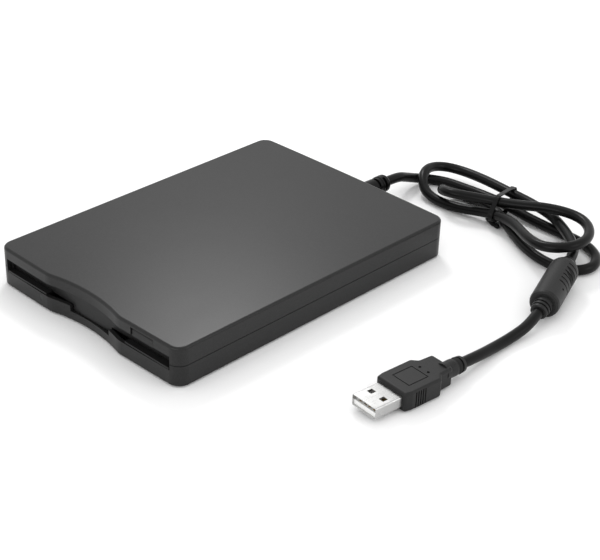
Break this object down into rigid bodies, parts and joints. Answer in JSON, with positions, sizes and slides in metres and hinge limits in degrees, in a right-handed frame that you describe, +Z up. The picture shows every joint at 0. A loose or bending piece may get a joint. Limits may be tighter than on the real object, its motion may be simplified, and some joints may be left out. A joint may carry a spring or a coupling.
{
  "type": "external floppy disk drive",
  "caption": "Slim external drive for small floppy disks with slot, dust door, eject button, spindle and head mechanism, and a tied-up USB lead with a suppression core.",
  "frame": {"origin": "middle of the drive's plan (lead left out), on the surface its feet stand on", "axes": "+Z up, -Y towards the disk slot, +Y towards the lead, +X to the right as seen from the slot"},
  "size_m": [0.1679, 0.2019, 0.0166],
  "materials": {
    "case_plastic": "fine matte texture",
    "bezel_plastic": "matte",
    "sheet_steel": "zinc plated",
    "lever_plastic": "smooth",
    "spindle_laminate": "solder mask",
    "copper_wire": "enamelled wire",
    "bronze": "sintered",
    "rotor_steel": "plated",
    "motor_steel": "plated",
    "rod_steel": "ground",
    "carriage_plastic": "moulded",
    "head_ceramic": "lapped",
    "board_laminate": "solder mask",
    "chip_plastic": "moulded",
    "screw_steel": "dark plated",
    "socket_plastic": "moulded",
    "ribbon_film": "film",
    "lens_clear": "clear",
    "foot_rubber": "matte",
    "cord_vinyl": "satin",
    "tie_vinyl": "satin",
    "plug_vinyl": "fine matte texture",
    "plug_metal": "nickel plated",
    "tongue_plastic": "moulded",
    "contact_metal": "gold plated"
  },
  "bodies": {
    "case": {"lower_shell": "case_plastic", "upper_shell": "case_plastic", "slot_bezel": "bezel_plastic", "mechanism_frame": "sheet_steel", "spindle_board": "spindle_laminate", "stator_coils": "copper_wire", "spindle_bush": "bronze", "stepper_motor": "motor_steel", "guide_rod": "rod_steel", "circuit_board": "board_laminate", "board_parts": "chip_plastic", "board_screws": "screw_steel", "lead_socket": "socket_plastic", "disk_switches": "chip_plastic", "ribbon_cable": "ribbon_film", "activity_lens": "lens_clear", "rubber_feet": "foot_rubber", "case_screws": "screw_steel", "strain_relief": "cord_vinyl", "cord_exit_run": "cord_vinyl", "cord_hank": "cord_vinyl", "cord_tie": "tie_vinyl", "ferrite_sleeve": "plug_vinyl", "cord_end_run": "cord_vinyl", "plug_body": "plug_vinyl", "plug_shell": "plug_metal", "plug_tongue": "tongue_plastic", "plug_contacts": "contact_metal"},
    "door": {"dust_door": "bezel_plastic"},
    "eject": {"eject_button": "bezel_plastic", "eject_slide": "sheet_steel"},
    "carrier": {"disk_carrier": "sheet_steel"},
    "lever": {"shutter_lever": "lever_plastic"},
    "rotor": {"spindle_rotor": "rotor_steel"},
    "carriage": {"head_carriage": "carriage_plastic", "lower_head": "head_ceramic"},
    "screw": {"lead_screw": "rod_steel"},
    "arm": {"upper_head_arm": "carriage_plastic", "upper_head": "head_ceramic"}
  },
  "joints": [
    {"name": "door_hinge", "type": "hinge", "parent": "case", "child": "door", "pos_m": [0, -0.06775, 0.0129], "axis": [1, 0, 0], "range_deg": [0, 88], "stiffness_Nm_per_rad": 0.0006, "springref_deg": -20.05},
    {"name": "eject_slide", "type": "slide", "parent": "case", "child": "eject", "axis": [0, 1, 0], "range_m": [-0.0045, 0]},
    {"name": "carrier_lift", "type": "slide", "parent": "case", "child": "carrier", "axis": [0, 0, 1], "range_m": [-0.002, 0]},
    {"name": "lever_pivot", "type": "hinge", "parent": "carrier", "child": "lever", "pos_m": [0.036, 0.028, 0.0123], "axis": [0, 0, -1], "range_deg": [0, 42], "stiffness_Nm_per_rad": 0.0015, "springref_deg": -14.32},
    {"name": "spindle_spin", "type": "hinge", "parent": "case", "child": "rotor", "pos_m": [0, -0.01, 0.006], "axis": [0, 0, 1], "continuous": true},
    {"name": "head_travel", "type": "slide", "parent": "case", "child": "carriage", "axis": [0, -1, 0], "range_m": [0, 0.015]},
    {"name": "screw_spin", "type": "hinge", "parent": "case", "child": "screw", "pos_m": [-0.014, 0.045, 0.008], "axis": [0, 1, 0], "range_deg": [0, 1800]},
    {"name": "arm_pivot", "type": "hinge", "parent": "carriage", "child": "arm", "pos_m": [0, 0.0495, 0.0135], "axis": [1, 0, 0], "range_deg": [0, 8]}
  ],
  "couplings": [
    {"joint": "carrier_lift", "follows": "eject_slide", "ratio": 0.4444},
    {"joint": "arm_pivot", "follows": "eject_slide", "rad_per_m": -31},
    {"joint": "screw_spin", "follows": "head_travel", "rad_per_m": 2094}
  ]
}
